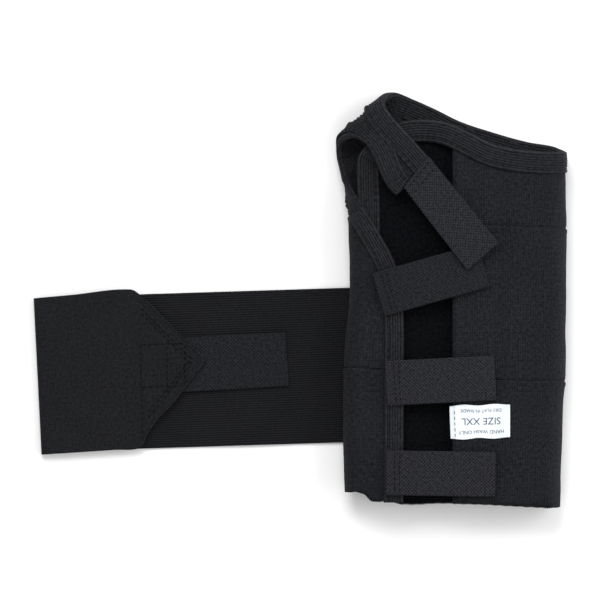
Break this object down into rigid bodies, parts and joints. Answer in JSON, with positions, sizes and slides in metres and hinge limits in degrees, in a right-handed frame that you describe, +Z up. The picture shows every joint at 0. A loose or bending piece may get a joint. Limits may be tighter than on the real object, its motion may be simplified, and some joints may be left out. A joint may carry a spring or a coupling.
{
  "type": "wrist splint",
  "caption": "Black elastic wrist splint for the right hand: flattened sleeve with a removable palm stay, a padded tongue, hook tabs, a thumb strap and a wide wrap strap.",
  "frame": {"origin": "under the middle of the wrist band, on the surface that the splint lies on", "axes": "+X across the splint from the thumb side to the little-finger side, +Y towards the fingers, +Z up from the palm side to the closure side"},
  "size_m": [0.2628, 0.2022, 0.0246],
  "materials": {
    "body_elastic": "black waffle-woven elastic",
    "ribbed_binding": "ribbed knitted edge binding",
    "strap_elastic": "ribbed wide elastic",
    "hook_tape": "woven back of hook tape",
    "plush_lining": "brushed black plush",
    "overlock_thread": "spun polyester thread",
    "label_satin": "white woven satin",
    "stay_metal": "bare rolled sheet"
  },
  "bodies": {
    "palm_side": {"hand_band": "body_elastic", "wrist_band": "body_elastic", "forearm_band": "body_elastic", "palmar_lining": "plush_lining", "stay_pocket": "plush_lining", "dorsal_tongue": "plush_lining", "tongue_edge_binding": "ribbed_binding", "finger_edge_binding": "ribbed_binding", "thumb_crotch_binding": "ribbed_binding", "forearm_end_overlock": "overlock_thread", "size_label": "label_satin", "thumb_strap_root": "ribbed_binding", "wrap_strap_root": "strap_elastic"},
    "stay": {"palmar_stay": "stay_metal"},
    "thumb_side_flap": {"flap_wrist_panel": "body_elastic", "flap_forearm_panel": "body_elastic", "thumb_edge_binding": "ribbed_binding", "upper_tab_root": "hook_tape", "middle_tab_root": "hook_tape", "lower_tab_root": "hook_tape"},
    "upper_tab": {"upper_tab": "hook_tape"},
    "middle_tab": {"middle_tab": "hook_tape"},
    "lower_tab": {"lower_tab": "hook_tape"},
    "thumb_strap": {"thumb_strap_core": "body_elastic", "thumb_finger_side_binding": "ribbed_binding", "thumb_palm_side_binding": "ribbed_binding", "thumb_tab_root": "hook_tape"},
    "thumb_tab": {"thumb_tab": "hook_tape"},
    "wrap_strap": {"wrap_strap_run": "strap_elastic"},
    "wrap_end": {"wrap_strap_end": "strap_elastic", "wrap_tab_root": "hook_tape"},
    "wrap_tab": {"wrap_tab": "hook_tape"}
  },
  "joints": [
    {"name": "flap_open", "type": "hinge", "parent": "palm_side", "child": "thumb_side_flap", "pos_m": [-0.04515, -0.03, 0.0202], "axis": [0, -1, 0], "range_deg": [0, 60]},
    {"name": "thumb_strap_lift", "type": "hinge", "parent": "palm_side", "child": "thumb_strap", "pos_m": [-0.03751, 0.08458, 0.0242], "axis": [-0.766, -0.6428, 0], "range_deg": [0, 120]},
    {"name": "upper_tab_lift", "type": "hinge", "parent": "thumb_side_flap", "child": "upper_tab", "pos_m": [-0.02699, 0.00777, 0.0229], "axis": [0.2723, -0.9622, 0], "range_deg": [0, 60]},
    {"name": "middle_tab_lift", "type": "hinge", "parent": "thumb_side_flap", "child": "middle_tab", "pos_m": [-0.02277, -0.03841, 0.0229], "axis": [0.0506, -0.9987, 0], "range_deg": [0, 130]},
    {"name": "lower_tab_lift", "type": "hinge", "parent": "thumb_side_flap", "child": "lower_tab", "pos_m": [-0.02275, -0.08316, 0.0229], "axis": [-0.014, -0.9999, 0], "range_deg": [0, 130]},
    {"name": "thumb_tab_lift", "type": "hinge", "parent": "thumb_strap", "child": "thumb_tab", "pos_m": [-0.01662, 0.05968, 0.0246], "axis": [-0.766, -0.6428, 0], "range_deg": [0, 75]},
    {"name": "wrap_strap_swing", "type": "hinge", "parent": "palm_side", "child": "wrap_strap", "pos_m": [-0.05735, -0.0302, 0.0012], "axis": [0.0314, -0.9995, 0], "range_deg": [-90, 0]},
    {"name": "wrap_end_unfold", "type": "hinge", "parent": "wrap_strap", "child": "wrap_end", "pos_m": [-0.20613, -0.03488, 0.00205], "axis": [0.0732, -0.9973, 0], "range_deg": [0, 172]},
    {"name": "wrap_tab_lift", "type": "hinge", "parent": "wrap_end", "child": "wrap_tab", "pos_m": [-0.1227, -0.02875, 0.0027], "axis": [-0.0732, 0.9973, 0], "range_deg": [-70, 0]},
    {"name": "stay_slide", "type": "slide", "parent": "palm_side", "child": "stay", "axis": [0, -1, 0], "range_m": [0, 0.16]}
  ],
  "couplings": [
    {"joint": "thumb_strap_lift", "follows": "flap_open", "ratio": 2},
    {"joint": "upper_tab_lift", "follows": "flap_open", "ratio": 1}
  ]
}
